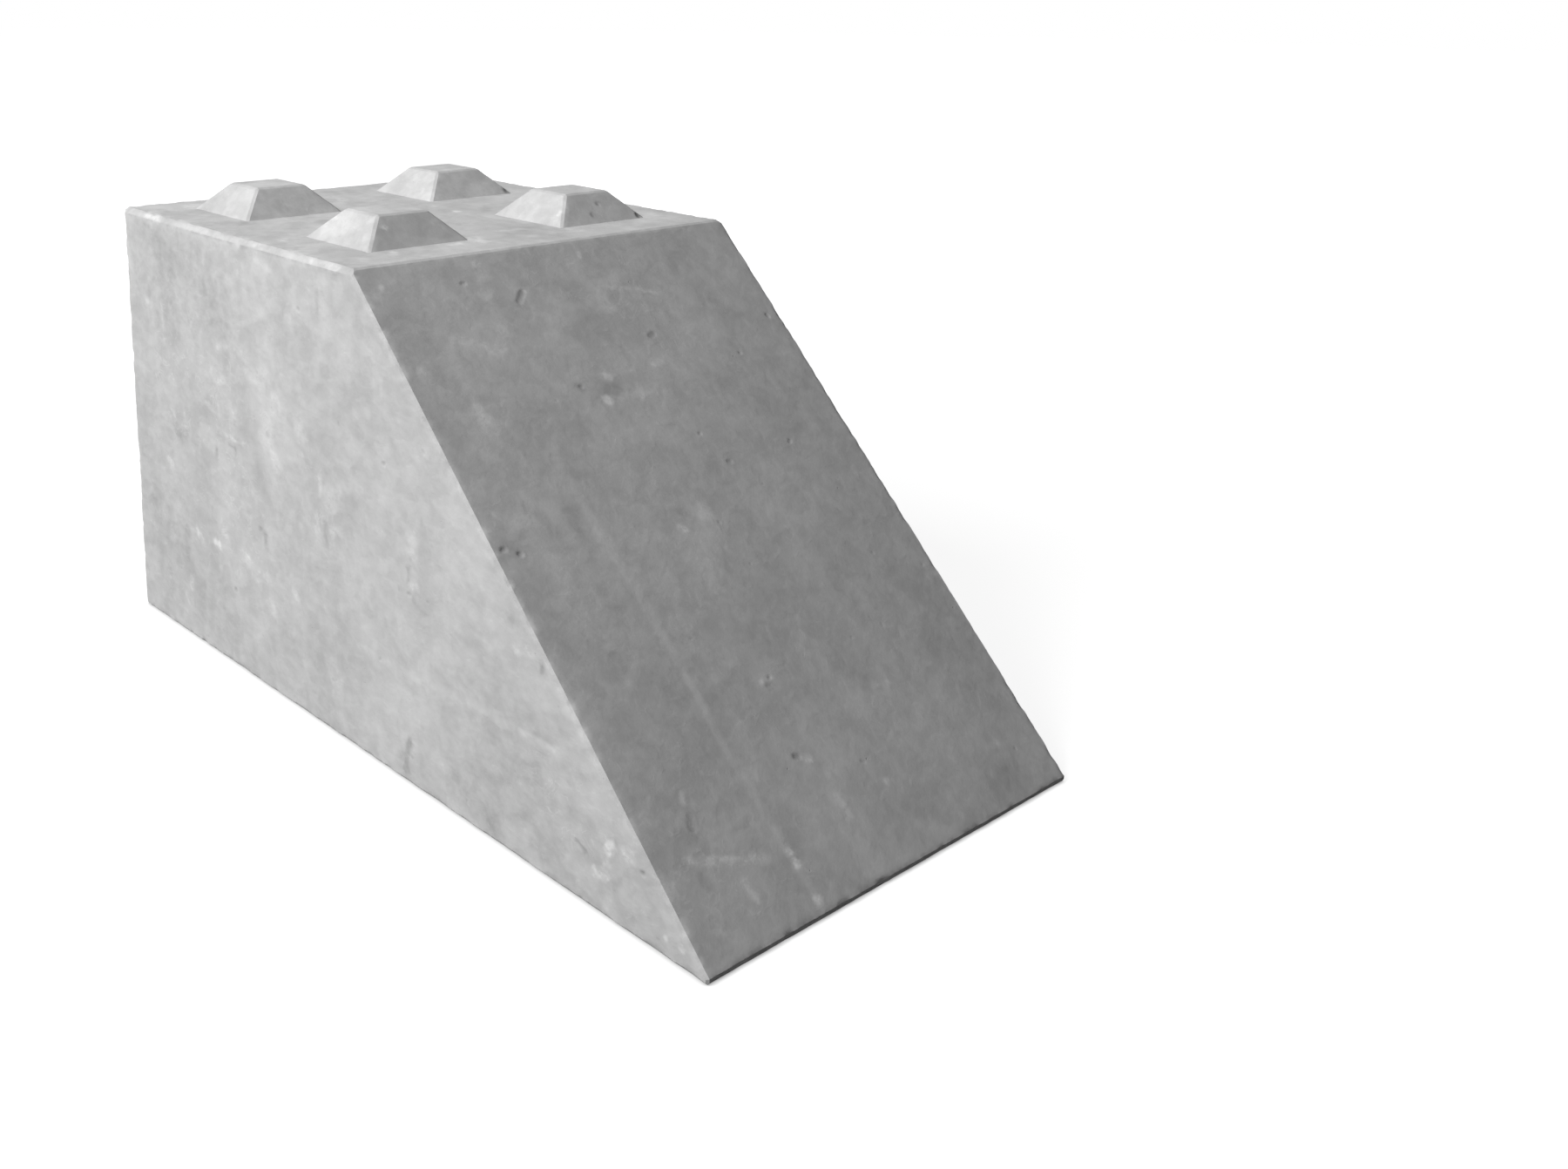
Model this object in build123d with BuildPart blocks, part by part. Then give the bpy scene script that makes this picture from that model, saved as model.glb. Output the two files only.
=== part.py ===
import os
from math import atan, degrees

from build123d import *

# An interlocking precast concrete block with one sloping end, cast as a single piece.
# Millimetres. The origin is at the middle of the underside's outline, +X points from
# the upright back face to the toe of the slope, and +Z points up.

# Body
base_length = 1600.0
top_length = 800.0
body_width = 800.0
body_height = 800.0
toe_height = 10.0

# The mould's corner strips leave wide chamfers round the top and up the back. The slope,
# its crest and the foot are only broken to a narrow one.
mould_chamfer = 10.0
arris_chamfer = 4.0

# Studs on the top, as truncated pyramids on the square interlocking grid
stud_pitch = 400.0
stud_base = 200.0
stud_top = 100.0
stud_height = 50.0
stud_chamfer = 4.0

# Sockets in the underside, which take the studs of the course below
socket_side_gap = 5.0
socket_roof_gap = 5.0

back_x = -base_length / 2
toe_x = base_length / 2
slope_top_x = back_x + top_length
slope_rise = (body_height - toe_height) / (toe_x - slope_top_x)

# The plane square to the slope at its foot, with its second axis out of the slope, and
# a length that reaches past the whole body either way from there
slope_section = Plane(
    origin=(toe_x, 0, toe_height),
    x_dir=(0, 1, 0),
    z_dir=(1, 0, -slope_rise),
)
slope_reach = base_length + body_height

# A socket's sides run parallel to a stud's. The lean is the sideways run of a stud's
# side for each millimetre of its height.
stud_lean = (stud_base - stud_top) / (2 * stud_height)
stud_taper = degrees(atan(stud_lean))
socket_depth = stud_height + socket_roof_gap
socket_mouth = stud_base + 2 * socket_side_gap
socket_roof = socket_mouth - 2 * stud_lean * socket_depth

# The grid's first column is half a pitch from the back face, and its rows are centred
# across the width. The last stud's foot stays clear of the chamfer at the crest, and
# the last socket keeps as much concrete over its roof as it is deep.
last_stud_centre = top_length - mould_chamfer - stud_base / 2
last_socket_centre = base_length - (2 * socket_depth - toe_height) / slope_rise - socket_roof / 2
stud_columns = int(last_stud_centre / stud_pitch + 0.5)
socket_columns = int(last_socket_centre / stud_pitch + 0.5)
rows = int((body_width - 2 * mould_chamfer - stud_base) / stud_pitch) + 1


def grid_points(columns, z):
    """The grid's points in the first columns from the back face, at one height."""
    xs = [back_x + (column + 0.5) * stud_pitch for column in range(columns)]
    ys = [(row - (rows - 1) / 2) * stud_pitch for row in range(rows)]
    return [(x, y, z) for x in xs for y in ys]


with BuildPart() as stud:
    with BuildSketch():
        Rectangle(stud_base, stud_base)
    extrude(amount=stud_height, taper=stud_taper)
    foot_edges = stud.edges().group_by(Axis.Z)[0]
    chamfer(stud.edges() - foot_edges, stud_chamfer)

with BuildPart() as socket:
    with BuildSketch():
        Rectangle(socket_mouth, socket_mouth)
    extrude(amount=socket_depth, taper=stud_taper)

with BuildPart() as block:
    # The body is what its side view, end view, plan and slope section have in common,
    # each with the chamfers that run across it.
    with BuildSketch(Plane.XZ) as side_view:
        with BuildLine():
            Polyline(
                (back_x, 0),
                (toe_x, 0),
                (toe_x, toe_height),
                (slope_top_x, body_height),
                (back_x, body_height),
                close=True,
            )
        make_face()
        top_corners = side_view.vertices().group_by(Axis.Y)[-1].sort_by(Axis.X)
        foot_corners = side_view.vertices().group_by(Axis.Y)[0]
        chamfer(top_corners[0], mould_chamfer)
        chamfer(foot_corners + [top_corners[-1]], arris_chamfer)
    extrude(amount=body_width / 2, both=True)

    with BuildSketch(Plane.YZ) as end_view:
        with Locations((0, body_height / 2)):
            Rectangle(body_width, body_height)
        corners = end_view.vertices().group_by(Axis.Y)
        chamfer(corners[-1], mould_chamfer)
        chamfer(corners[0], arris_chamfer)
    extrude(amount=base_length / 2, both=True, mode=Mode.INTERSECT)

    with BuildSketch() as plan:
        Rectangle(base_length, body_width)
        corners = plan.vertices().group_by(Axis.X)
        chamfer(corners[0], mould_chamfer)
        chamfer(corners[-1], arris_chamfer)
    extrude(amount=body_height, mode=Mode.INTERSECT)

    with BuildSketch(slope_section) as slope_view:
        Rectangle(body_width, slope_reach, align=(Align.CENTER, Align.MAX))
        chamfer(slope_view.vertices().group_by(Axis.Y)[-1], arris_chamfer)
    extrude(amount=slope_reach, both=True, mode=Mode.INTERSECT)

    with Locations(*grid_points(stud_columns, body_height)):
        add(stud.part)
    with Locations(*grid_points(socket_columns, 0)):
        add(socket.part, mode=Mode.SUBTRACT)

block.part.label = "block"

os.makedirs("parts", exist_ok=True)
export_step(block.part, "parts/block.step")
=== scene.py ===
import math
import random

import bpy
import numpy as np
from mathutils import Matrix, Vector, noise
from mathutils.geometry import delaunay_2d_cdt
from numpy.linalg import norm


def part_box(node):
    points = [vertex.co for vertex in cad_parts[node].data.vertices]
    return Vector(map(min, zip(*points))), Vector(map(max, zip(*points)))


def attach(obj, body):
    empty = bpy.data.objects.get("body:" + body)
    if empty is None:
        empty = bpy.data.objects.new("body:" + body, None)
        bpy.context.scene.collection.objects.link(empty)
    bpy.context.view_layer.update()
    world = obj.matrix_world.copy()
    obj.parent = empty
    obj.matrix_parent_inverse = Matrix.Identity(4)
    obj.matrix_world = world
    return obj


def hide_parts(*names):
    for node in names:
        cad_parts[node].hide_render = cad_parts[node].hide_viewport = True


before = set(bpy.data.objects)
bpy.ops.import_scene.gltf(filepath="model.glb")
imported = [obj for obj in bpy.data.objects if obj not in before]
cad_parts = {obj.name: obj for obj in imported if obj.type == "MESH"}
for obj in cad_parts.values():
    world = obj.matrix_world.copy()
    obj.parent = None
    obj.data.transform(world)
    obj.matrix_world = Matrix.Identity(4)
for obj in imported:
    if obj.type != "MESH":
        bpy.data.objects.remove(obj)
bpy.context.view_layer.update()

# An interlocking concrete block with one sloping end, in metres and in the frame's own
# axes: +X towards the toe of the slope, the near side at -Y, +Z up. Marks and hollows are
# placed in millimetres.
MM = 0.001
LOW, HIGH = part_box("block")
STUD_HEIGHT = 50 * MM
TOE_HEIGHT = 10 * MM
TOP_Z = HIGH.z - STUD_HEIGHT
CREST_X = 0.0
DOWN_SLOPE = Vector((HIGH.x - CREST_X, 0.0, TOE_HEIGHT - TOP_Z)).normalized()
OUT_OF_SLOPE = Vector((-DOWN_SLOPE.z, 0.0, DOWN_SLOPE.x))

SEED = 71
rng = random.Random(SEED)


# Places on the block, from millimetres

# The slope's rise from its toe, in millimetres
SLOPE_RISE = 790


def at(x, y, z):
    """A point from its three coordinates in millimetres."""
    return (x * MM, y * MM, z * MM)


def on_side(x, z):
    """A point on the near side, from its x and z in millimetres."""
    return (x * MM, LOW.y, z * MM)


def on_slope(across, down):
    """A point on the slope: millimetres across from the middle, and down from the crest."""
    return tuple(Vector((CREST_X, across * MM, TOP_Z)) + DOWN_SLOPE * down * MM)


def on_top(x, y):
    """A point on the flat top, in millimetres."""
    return (x * MM, y * MM, TOP_Z)


def on_back(y, z):
    """A point on the upright back face, in millimetres."""
    return (LOW.x, y * MM, z * MM)


def on_far_side(x, z):
    """A point on the far side, in millimetres."""
    return (x * MM, HIGH.y, z * MM)


def under_slope(x, z, end):
    """A height on a side face, brought down in front of the crest to nothing at the end."""
    return z * min(1.0, (end - x) / SLOPE_RISE)


def placed(place, marks):
    """Marks or hollows on one face, from their places on it."""
    return [([place(*point) for point in line], *values) for line, *values in marks]


# Marks on the concrete, each (points of its line, half width in mm, strength). One with a
# single point is a spot. Those on one face have their places there, as on_slope, on_side
# and on_top take them. Seams are where the mould's sheets met.

SLOPE_SEAMS = [
    # the long one and a shorter one beside it
    ([(-215, 366), (-208, 560)], 9, 0.4),
    ([(-208, 560), (-197, 659)], 9, 0.38),
    ([(-198, 659), (-194, 758)], 9, 0.3),
    ([(-194, 758), (-194, 877)], 7, 0.58),
    ([(-194, 877), (-185, 983)], 9, 0.36),
    ([(-185, 983), (-176, 1114)], 8, 0.38),
    ([(-300, 167), (-302, 262), (-304, 336)], 9, 0.3),
]

SIDE_SEAMS = [
    # the level one, faint at the back end and bright near the toe
    ([(-800, 220), (-365, 219), (-195, 206)], 7, 0.18),
    ([(-195, 206), (-32, 183)], 6, 0.06),
    ([(-32, 183), (95, 184), (204, 191)], 8, 0.28),
    ([(204, 191), (363, 198), (418, 201)], 7, 0.26),
    ([(418, 201), (494, 201)], 6, 0.75),
    ([(494, 201), (588, 206)], 8, 0.3),
    # a thin upright one
    ([(-654, 641), (-650, 562)], 5, 0.3),
]

SEAMS = [
    *placed(on_slope, SLOPE_SEAMS),
    *placed(on_side, SIDE_SEAMS),
    # round the back and along the far side, where the sheets met at the same height
    ([on_back(-400, 216), on_back(400, 214)], 7, 0.3),
    ([on_far_side(-800, 214), on_far_side(-100, 206), on_far_side(575, 204)], 7, 0.3),
    ([on_back(35, 216), on_back(30, 790)], 6, 0.18),
]

PALE_ON_SLOPE = [
    # at its head
    ([(-173, 24)], 6, 1.5),
    ([(-360, 40)], 7, 1.0),
    ([(-378, 56)], 8, 0.6),
    ([(-170, 36), (-185, 95), (-188, 153)], 13, 0.42),
    ([(-287, 155), (-247, 166), (-214, 192)], 11, 0.42),
    ([(-107, 87)], 5, 0.9),
    ([(35, 119), (39, 143)], 12, 0.55),
    ([(65, 107), (108, 115), (156, 134)], 5, 0.7),
    ([(163, 131), (202, 91), (209, 63)], 9, 0.3),
    ([(-365, 199)], 14, 0.6),
    ([(-326, 123)], 26, 0.3),
    # in its upper half
    ([(-303, 287), (-299, 313)], 15, 0.5),
    ([(-41, 269)], 10, 0.95),
    ([(-41, 269), (15, 266)], 6, 0.4),
    ([(59, 265), (81, 263)], 6, 0.75),
    ([(-2, 305)], 18, 0.6),
    ([(-67, 310)], 8, 1.2),
    ([(-361, 442)], 16, 0.5),
    ([(-336, 455), (-297, 440)], 22, 0.26),
    ([(-62, 542), (-56, 548)], 7, 1.5),
    ([(-2, 540)], 16, 0.6),
    ([(-297, 565), (-316, 639)], 26, 0.3),
    ([(-60, 619), (-50, 699)], 15, 0.3),
    # in its lower half
    ([(-73, 805)], 8, 0.95),
    ([(-65, 933)], 6, 1.3),
    ([(-297, 902), (-302, 915)], 5, 0.8),
    ([(-342, 985), (-324, 994), (-282, 1005)], 6, 0.95),
    ([(-282, 1005), (-219, 1028)], 5, 0.7),
    ([(-376, 997)], 17, 0.6),
    ([(-180, 1032), (-178, 1052)], 6, 1.5),
    ([(-176, 1104)], 6, 1.2),
    ([(-273, 1041), (-268, 1072)], 5, 0.8),
    ([(-348, 1081)], 9, 0.6),
    ([(-52, 997), (-50, 1026)], 7, 0.55),
    ([(49, 1007)], 5, 0.8),
    ([(296, 1032)], 6, 0.8),
    ([(128, 877), (157, 881)], 4, 0.55),
    # a scuff at the crest
    ([(37, 12), (38, 38)], 5, 0.6),
]

PALE_ON_SIDE = [
    # laitance on the level seam
    ([(-556, 223), (-537, 211)], 7, 0.85),
    ([(-485, 218), (-470, 219)], 8, 0.95),
    ([(-365, 222)], 9, 0.75),
    ([(-300, 208), (-284, 205)], 8, 0.4),
    ([(-201, 209), (-189, 201)], 9, 0.5),
    # washed patches and runs
    ([(-251, 542), (-246, 524)], 16, 0.5),
    ([(-275, 502), (-270, 465)], 15, 0.34),
    ([(-260, 443), (-242, 427)], 11, 0.5),
    ([(-317, 562), (-267, 581)], 14, 0.3),
    ([(-179, 522), (-164, 497)], 15, 0.34),
    ([(-107, 439), (-106, 413)], 8, 0.62),
    ([(-120, 373), (-118, 351)], 9, 0.62),
    ([(-70, 418), (-68, 395)], 24, 0.42),
    ([(-72, 378), (-76, 321)], 10, 0.42),
    ([(160, 424), (158, 383)], 17, 0.42),
    ([(157, 334)], 10, 0.95),
    ([(67, 398)], 10, 0.5),
    ([(-655, 336), (-647, 326)], 9, 0.75),
    ([(-682, 311)], 9, 0.5),
    ([(-447, 502), (-447, 471)], 6, 0.38),
    ([(-493, 481), (-463, 469)], 6, 0.42),
    ([(-633, 439), (-623, 427)], 5, 0.5),
    ([(-586, 441), (-580, 425)], 9, 0.5),
    ([(-384, 476)], 18, 0.42),
    ([(-447, 439), (-406, 435), (-366, 435)], 4, 0.45),
    ([(-363, 434)], 6, 0.75),
    ([(-475, 542), (-425, 537)], 12, 0.4),
    ([(-721, 634), (-698, 626)], 8, 0.45),
    ([(-440, 592), (-386, 611), (-336, 591)], 7, 0.45),
    ([(-77, 758), (-79, 706)], 17, 0.32),
    ([(-168, 700)], 22, 0.3),
    ([(50, 670), (69, 641)], 22, 0.3),
    ([(-287, 775), (-247, 762)], 12, 0.4),
    ([(-587, 118), (-587, 99)], 8, 0.6),
    ([(-615, 75), (-606, 67)], 9, 0.6),
    ([(-288, 165), (-259, 145)], 18, 0.3),
    ([(-81, 145), (-77, 90)], 24, 0.28),
    ([(-188, 58)], 11, 0.5),
    # near the toe
    ([(410, 325), (444, 328)], 8, 0.5),
    ([(612, 112), (610, 100)], 9, 1.3),
    ([(606, 82), (602, 66), (578, 58)], 10, 1.05),
    ([(649, 115)], 12, 0.85),
    ([(611, 34), (606, 14)], 10, 0.5),
    ([(723, 26)], 3, 1.6),
    ([(754, 28)], 4, 1.1),
    ([(305, 126), (301, 109)], 6, 0.45),
]

PALE_ON_TOP = [
    # scuffs and washed patches
    ([(-278, -357), (-298, -345)], 8, 0.8),
    ([(-235, -360), (-251, -350)], 8, 0.45),
    ([(-165, -362), (-205, -338)], 30, 0.28),
    ([(-50, -345), (-64, -336)], 10, 0.4),
    ([(-60, -281), (-78, -271)], 8, 0.95),
    ([(-600, -41), (-640, -16)], 9, 0.5),
    ([(-440, -40), (-485, -20)], 22, 0.3),
    ([(-700, -305), (-735, -288)], 16, 0.5),
    ([(-370, 67), (-380, 73)], 7, 1.2),
    ([(-440, 65), (-470, 85)], 14, 0.3),
    ([(-143, -12), (-141, 35)], 10, 0.42),
    ([(-62, -2), (-72, 16)], 8, 0.35),
    ([(-64, 95), (-82, 105)], 22, 0.5),
    ([(-76, -146), (-83, -139)], 12, 0.85),
    ([(-66, -102), (-114, -74)], 12, 0.55),
    ([(-105, 330), (-128, 342)], 12, 0.4),
    ([(-52, 332), (-72, 344)], 12, 0.4),
    ([(-425, -300), (-447, -288)], 14, 0.25),
    ([(-605, -370), (-555, -340)], 26, 0.2),
]

PALE_MARKS = [
    *placed(on_slope, PALE_ON_SLOPE),
    *placed(on_side, PALE_ON_SIDE),
    *placed(on_top, PALE_ON_TOP),
    # painted light on the studs: whole faces made lighter, the lit ones at -Y of the two by the
    # crest and the shaded ones at +X of the two behind
    ([at(-200, -275, 825), at(-240, -275, 825)], 60, 0.26),
    ([at(-200, 125, 825), at(-240, 125, 825)], 60, 0.14),
    ([at(-525, -235, 825), at(-525, -165, 825)], 60, 0.26),
    ([at(-525, 165, 825), at(-525, 235, 825)], 60, 0.3),
    # small pale marks on the studs
    ([at(-158, -262, 838), at(-156, -268, 832)], 8, 0.35),
    ([at(-258, -262, 838), at(-266, -270, 830)], 6, 0.6),
    ([at(-132, -253, 832), at(-130, -246, 830)], 4, 1.6),
    ([at(-268, -276, 824), at(-262, -264, 836)], 11, 0.55),
    ([at(-137, -286, 814), at(-140, -280, 820)], 9, 0.35),
    ([at(-133, 120, 820), at(-128, 112, 812)], 8, 0.8),
    ([at(-250, 130, 830), at(-200, 128, 828)], 14, 0.3),
    ([at(-600, 138, 838), at(-585, 130, 830)], 14, 0.3),
    ([at(-556, 120, 820), at(-548, 114, 814)], 8, 0.45),
    ([at(-610, -277, 823), at(-600, -270, 830)], 12, 0.35),
    ([at(-529, 260, 829), at(-520, 250, 820)], 9, 0.35),
    # laitance left on the long arris of the top
    ([at(-705, -395, 795), at(-650, -395, 795)], 8, 0.8),
    ([at(-560, -395, 795), at(-470, -395, 795)], 6, 0.3),
    ([at(-330, -395, 795), at(-300, -395, 795)], 6, 0.4),
    ([at(-120, -395, 795), at(-40, -395, 795)], 7, 0.6),
]

# Where fine pale lines gather
CRAZED = [
    ([on_side(-600, 520), on_side(-420, 440), on_side(-440, 260)], 130, 1.0),
    ([on_side(-140, 460), on_side(-100, 340)], 50, 0.8),
    ([on_side(-700, 230), on_side(-640, 80)], 70, 0.7),
    ([on_side(480, 120), on_side(620, 90)], 70, 0.9),
    ([on_slope(-60, 40), on_slope(100, 140)], 90, 0.5),
    ([on_slope(-340, 1000), on_slope(-200, 1040)], 60, 0.7),
    ([on_back(-100, 500), on_back(80, 250)], 120, 0.8),
    ([on_far_side(-400, 500), on_far_side(-100, 300)], 130, 0.8),
    ([on_far_side(200, 150), on_far_side(450, 120)], 80, 0.7),
]

# On each face the broad, faint ones come first, then damp or oily stains, and marks at the
# hollows of PITS, which are painted shade in them.
DARK_ON_SLOPE = [
    ([(-267, 738), (-259, 897)], 90, 0.3),
    ([(-320, 540), (-290, 620)], 70, 0.16),
    ([(325, 798), (340, 957)], 50, 0.18),
    ([(236, 1066), (286, 1096)], 30, 0.24),
    ([(256, 43), (246, 172)], 42, 0.22),
    ([(-10, 103), (-25, 182)], 26, 0.26),
    ([(-128, 102), (-111, 84)], 11, 0.5),
    ([(92, 209)], 11, 0.45),
    ([(-104, 276)], 8, 0.5),
    ([(-56, 290), (-36, 290)], 9, 0.6),
    ([(-368, 505)], 34, 0.5),
    ([(-380, 500)], 8, 0.55),
    ([(-356, 513)], 7, 0.55),
    ([(-48, 522)], 13, 0.5),
    ([(-242, 520), (-237, 470)], 12, 0.45),
    ([(-64, 815)], 8, 0.3),
    ([(-84, 924)], 9, 0.55),
    ([(-303, 932), (-315, 957)], 12, 0.45),
    ([(-336, 1009), (-331, 1026)], 9, 0.45),
    ([(-239, 791)], 26, 0.4),
    ([(86, 818), (108, 858)], 16, 0.28),
]

DARK_ON_SIDE = [
    ([(-662, 716), (-475, 673)], 95, 0.44),
    ([(-210, 700), (60, 640)], 85, 0.14),
    ([(-682, 752), (-366, 742)], 20, 0.22),
    ([(-603, 691), (-287, 656)], 22, 0.2),
    ([(-288, 383), (-238, 349)], 55, 0.2),
    ([(-712, 171), (-604, 116)], 80, 0.14),
    ([(370, 145), (470, 110)], 95, 0.38),
    ([(555, 85), (645, 80)], 60, 0.24),
    ([(138, 71), (125, 18)], 9, 0.95),
    ([(123, 40)], 16, 0.55),
    ([(144, 359), (144, 341)], 4, 0.6),
    ([(159, 312)], 9, 0.6),
    ([(-294, 288), (-293, 268)], 8, 0.5),
    ([(-310, 294)], 8, 0.4),
    ([(-414, 149)], 8, 0.55),
    ([(-473, 664), (-494, 651)], 18, 0.6),
    ([(-98, 745), (-98, 715)], 6, 0.55),
    ([(-94, 365), (-94, 331)], 10, 0.35),
    ([(-461, 401), (-461, 388)], 7, 0.45),
    ([(-414, 421), (-390, 421), (-390, 401)], 4, 0.55),
    ([(-273, 475)], 6, 0.6),
    ([(-623, 404), (-584, 399)], 12, 0.4),
    ([(-596, 210), (-596, 156)], 12, 0.42),
    ([(-720, 228)], 22, 0.45),
    ([(402, 364)], 9, 0.5),
    ([(468, 315), (468, 307)], 7, 0.6),
    ([(410, 159), (429, 154)], 14, 0.55),
    ([(542, 88), (566, 76)], 6, 0.6),
    ([(361, 25), (335, 41)], 14, 0.5),
    ([(676, 101)], 6, 0.6),
    ([(258, 63)], 10, 0.35),
    ([(644, 84), (624, 60)], 14, 0.5),
    # under the long arris of the top: painted shade that narrows the light on its chamfer from
    # below, and a broader faint darker band
    ([(-790, 789), (0, 789)], 5, 0.5),
    ([(-560, 775), (-120, 775)], 16, 0.2),
]

DARK_ON_TOP = [
    ([(-388, -266), (-424, -243)], 20, 0.26),
    ([(-471, -327), (-505, -306)], 9, 0.45),
    ([(-338, -374), (-362, -360)], 12, 0.3),
    ([(-198, -376), (-212, -366)], 6, 0.6),
    ([(-45, -380), (-70, -364)], 10, 0.25),
    ([(-405, -202), (-433, -184)], 10, 0.4),
    ([(-660, 27), (-700, 51)], 18, 0.25),
    ([(-645, -340), (-668, -325)], 7, 0.22),
    ([(-343, 118), (-393, 150)], 11, 0.42),
    ([(-58, -23), (-72, -15)], 14, 0.3),
    ([(-140, 66), (-167, 82)], 18, 0.3),
    ([(-36, 171), (-58, 185)], 11, 0.35),
    ([(-125, 368), (-145, 380)], 10, 0.3),
    ([(-57, 221), (-82, 237)], 12, 0.3),
    ([(-333, 38), (-346, 49)], 8, 0.35),
    # painted shade along the crest towards its far end, where the edge rounds away from the
    # light
    ([(-18, 235), (-16, 385)], 20, 0.34),
    ([(-500, -345), (-60, -345)], 55, 0.13),
    ([(-560, 0), (-60, 0)], 85, 0.11),
]

DARK_MARKS = [
    *placed(on_slope, DARK_ON_SLOPE),
    *placed(on_side, DARK_ON_SIDE),
    *placed(on_top, DARK_ON_TOP),
    # painted shade on the studs: the shaded face at +X of the near one by the crest and the lit
    # face at -Y of the one behind it made darker
    ([at(-125, -235, 825), at(-125, -165, 825)], 60, 0.14),
    ([at(-650, -275, 825), at(-560, -275, 825)], 60, 0.36),
    # painted shade along the long arris of the top: it dims the light on its chamfer and narrows
    # it from above
    ([at(-790, -395, 795), at(0, -395, 795)], 9, 0.36),
    ([at(-790, -390, 800), at(0, -390, 800)], 5, 0.55),
    # painted shade along the toe's nose, which faces away from the key
    ([at(800, -400, 6), at(800, 400, 6)], 9, 0.36),
    # painted shade in the blow holes on the studs and at their feet
    ([at(-130, 210, 830)], 6, 0.8),
    ([at(-114, 184, 814)], 6, 0.4),
    ([at(-506, 288, 806)], 7, 1.3),
    ([at(-106, 288, 806)], 8, 1.4),
]

# Blow holes and small gouges, each (its place and one that it slants to, radius, depth, length
# along the slant), in millimetres. A scattered one is this share of its radius deep.
HOLE_DEPTH = 0.2

PITS_ON_SLOPE = [
    ([(-130, 104), (-108, 82)], 6, 0.8, 22),
    ([(88, 211), (96, 208)], 6, 0.7, 8),
    ([(-104, 276), (-99, 276)], 4, 0.7, 2),
    ([(-380, 500), (-374, 500)], 5, 1.3, 3),
    ([(-357, 513), (-354, 515)], 5, 1.3, 2),
    ([(-66, 815), (-60, 816)], 4, 0.4, 5),
    ([(-86, 923), (-76, 927)], 5, 1.0, 6),
    ([(98, 462), (108, 466)], 4, 0.8, 5),
    ([(367, 214), (371, 222)], 4, 1.2, 4),
    ([(-305, 937), (-313, 955)], 7, 0.5, 14),
]

PITS_ON_SIDE = [
    ([(-294, 286), (-293, 269)], 5, 0.9, 14),
    ([(-310, 294), (-310, 290)], 4, 1.0, 2),
    ([(-414, 149), (-411, 149)], 5, 0.9, 3),
    ([(-461, 399), (-461, 389)], 5, 0.6, 8),
    ([(81, 510), (89, 512)], 4, 1.0, 4),
    ([(468, 314), (468, 307)], 4, 0.9, 6),
    ([(-94, 363), (-94, 333)], 7, 0.5, 24),
    ([(544, 87), (564, 77)], 4, 0.9, 20),
    ([(676, 101), (680, 102)], 4, 1.2, 2),
    ([(188, 556), (194, 551)], 4, 0.8, 3),
    ([(-158, 710), (-148, 708)], 4, 0.8, 3),
]

PITS = [
    *placed(on_slope, PITS_ON_SLOPE),
    *placed(on_side, PITS_ON_SIDE),
    # at the studs
    ([at(-130, 210, 830), at(-128, 212, 828)], 4, 0.9, 2),
    ([at(-114, 184, 814), at(-112, 185, 812)], 4, 0.5, 2),
    ([at(-506, 289, 806), at(-504, 290, 804)], 5, 1.8, 2),
    ([at(-106, 288, 806), at(-104, 289, 804)], 6, 2.2, 2),
]


def scattered(faces):
    """Places at random on each face: (the face's own function, its two coordinates)."""
    for place, first, second, count in faces:
        for _ in range(count):
            a = rng.uniform(*first)
            b = rng.uniform(*second)
            if place in (on_side, on_far_side):
                b = under_slope(a, b, first[1])
            yield place, a, b


def scattered_pits():
    """Small blow holes on every face, as the chance of casting leaves them."""
    faces = [
        (on_side, (-780, 780), (20, 770), 22),
        (on_far_side, (-780, 780), (20, 770), 50),
        (on_slope, (-380, 380), (30, 1090), 18),
        (on_back, (-375, 375), (20, 770), 28),
        (on_top, (-770, -30), (-370, 370), 10),
    ]
    pits = []
    for place, a, b in scattered(faces):
        radius = rng.choice((1.8, 2.2, 2.2, 2.6, 3.0, 4.0))
        turn = rng.uniform(0.0, math.tau)
        aim = place(a + 10 * math.cos(turn), b + 10 * math.sin(turn))
        length = rng.choice((0.0, 0.0, 2.0, 4.0))
        pits.append(([place(a, b), aim], radius, radius * HOLE_DEPTH, length))
    return pits


def scattered_marks(pale):
    """Runs, washes and stains for the faces that carry none of the listed marks."""
    faces = [
        (on_far_side, (-760, 760), (40, 760), 34),
        (on_back, (-360, 360), (40, 740), 18),
    ]
    marks = []
    for place, a, b in scattered(faces):
        drop = rng.choice((0.0, 20.0, 45.0, 80.0))
        half_width = rng.uniform(7.0, 24.0)
        strength = rng.uniform(0.18, 0.55) if pale else rng.uniform(0.15, 0.4)
        end = place(a + rng.uniform(-8, 8), b - drop)
        marks.append(([place(a, b), end], half_width, strength))
    return marks


# Meshing. Each flat face of the CAD solid is filled again with well-shaped triangles, fine
# at its edges and marks, so that chips, hollows and stains have vertices to sit on.
# Sizes are the triangles' sides in millimetres: the widest on the faces that the camera
# sees, on the back and far side, and under the block, then those along the arrises.
NEAR_SIZE = 9.5
HIDDEN_SIZE = 14.0
UNDER_SIZE = 22.0
ARRIS_SIZE = 4.2
UNDER_ARRIS_SIZE = 9.0
# How far from an arris its size holds
ARRIS_BAND = 7.0
PIT_SIZE = 2.0
MARK_SIZE = 5.0
SMALLEST_SIZE = 1.7
# How fast the size may grow with the distance from what is fine, and the step between two
# sizes of the grid that fills a face.
SIZE_GROWTH = 0.34
LEVEL_STEP = math.sqrt(2.0)
HALF_STEP = math.sqrt(LEVEL_STEP)
# The cells in which the grid is kept or skipped
CELL = 20.0
# Nothing that is this far off changes the size.
FAR = 60 * MM
# Three points in a row along an outline make a triangle lower than this, which is left out
LOWEST = 0.02 * MM
# Triangles are of one face where their normals and planes agree this closely, and one with
# less than this area is of none.
SAME_WAY = 0.99999
SAME_PLANE = 2e-5
NO_AREA = 1e-12
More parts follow.
